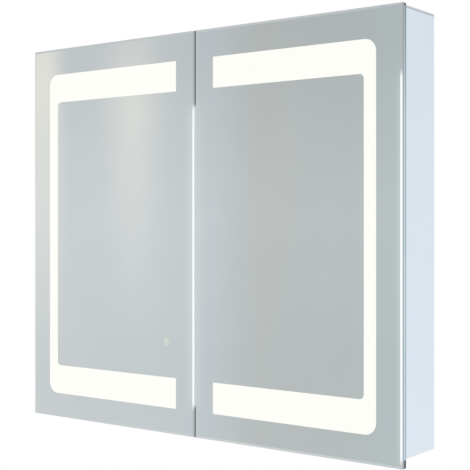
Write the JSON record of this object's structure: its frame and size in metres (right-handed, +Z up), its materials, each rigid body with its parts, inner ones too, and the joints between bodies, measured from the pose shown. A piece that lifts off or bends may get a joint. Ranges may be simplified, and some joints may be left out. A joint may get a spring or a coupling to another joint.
{
  "type": "mirrored medicine cabinet",
  "caption": "Wall-hung bathroom cabinet with lit frosted mirror doors on concealed hinges, glass shelves inside and a touch sensor in one door.",
  "frame": {"origin": "centre of the body's back face, on the wall plane", "axes": "+X to the right as seen from the front, +Y into the wall so the front faces -Y, +Z up"},
  "size_m": [0.8, 0.111, 0.7],
  "materials": {
    "body_board": "moisture-resistant board in satin lacquer, pale blue-white",
    "cover_paint": "satin powder coat, pale blue-white",
    "tray_paint": "satin powder coat",
    "screw_zinc": "zinc plated",
    "white_plastic": "fine matt",
    "brass": "turned",
    "black_rubber": "matt",
    "lead_sheath": "smooth extruded sheath",
    "clear_glass": "clear float glass, polished edges",
    "chrome": "polished",
    "hinge_nickel": "nickel plated",
    "pin_steel": "ground steel",
    "clear_rubber": "translucent",
    "front_mirror": "silvered glass with a polished bevel and an etched band",
    "light_guide": "opal acrylic, lit",
    "tape_board": "white solder mask",
    "led_chips": "phosphor gel",
    "white_board": "foamed board",
    "edge_strip": "clear edge strip",
    "rear_mirror": "silvered glass, ground edges",
    "ribbon_white": "flat flexible ribbon",
    "circuit_board": "green solder mask"
  },
  "bodies": {
    "cabinet": {"side_panel_left": "body_board", "side_panel_right": "body_board", "bottom_panel": "body_board", "back_panel": "body_board", "top_cover": "cover_paint", "electrics_tray": "tray_paint", "cam_bolts": "screw_zinc", "cam_locks": "screw_zinc", "cover_screws": "screw_zinc", "tray_screws": "screw_zinc", "led_driver": "white_plastic", "driver_screws": "screw_zinc", "terminal_block": "white_plastic", "block_screws": "screw_zinc", "terminal_screws": "brass", "cord_grommet": "black_rubber", "supply_leads": "lead_sheath", "lead_body_left": "lead_sheath", "lead_body_right": "lead_sheath", "shelf_upper": "clear_glass", "shelf_middle": "clear_glass", "shelf_lower": "clear_glass", "shelf_pegs": "chrome", "hinge_plates": "hinge_nickel", "plate_screws": "screw_zinc", "hinge_arms": "hinge_nickel", "arm_screws": "screw_zinc", "arm_pins": "pin_steel", "door_bumpers": "clear_rubber"},
    "hinge_links_left": {"links_left": "hinge_nickel", "lead_link_left": "lead_sheath"},
    "hinge_links_right": {"links_right": "hinge_nickel", "lead_link_right": "lead_sheath"},
    "door_left": {"front_mirror_left": "front_mirror", "light_guide_left": "light_guide", "led_tape_left": "tape_board", "led_chips_left": "led_chips", "core_board_left": "white_board", "edge_frame_left": "edge_strip", "rear_mirror_left": "rear_mirror", "hinge_cups_left": "hinge_nickel", "cup_screws_left": "screw_zinc", "cup_pins_left": "pin_steel", "ribbon_left": "ribbon_white", "lead_door_left": "lead_sheath", "touch_sensor": "circuit_board"},
    "door_right": {"front_mirror_right": "front_mirror", "light_guide_right": "light_guide", "led_tape_right": "tape_board", "led_chips_right": "led_chips", "core_board_right": "white_board", "edge_frame_right": "edge_strip", "rear_mirror_right": "rear_mirror", "hinge_cups_right": "hinge_nickel", "cup_screws_right": "screw_zinc", "cup_pins_right": "pin_steel", "ribbon_right": "ribbon_white", "lead_door_right": "lead_sheath"}
  },
  "joints": [
    {"name": "link_left_swing", "type": "hinge", "parent": "cabinet", "child": "hinge_links_left", "pos_m": [-0.373, -0.0938, 0], "axis": [0, 0, -1], "range_deg": [-38.1, 0]},
    {"name": "door_left_open", "type": "hinge", "parent": "hinge_links_left", "child": "door_left", "pos_m": [-0.3905, -0.1018, 0], "axis": [0, 0, -1], "range_deg": [0, 133]},
    {"name": "link_right_swing", "type": "hinge", "parent": "cabinet", "child": "hinge_links_right", "pos_m": [0.373, -0.0938, 0], "axis": [0, 0, 1], "range_deg": [-38.1, 0]},
    {"name": "door_right_open", "type": "hinge", "parent": "hinge_links_right", "child": "door_right", "pos_m": [0.3905, -0.1018, 0], "axis": [0, 0, 1], "range_deg": [0, 133]}
  ],
  "couplings": [
    {"joint": "link_left_swing", "follows": "door_left_open", "ratio": -0.28571},
    {"joint": "link_right_swing", "follows": "door_right_open", "ratio": -0.28571}
  ]
}
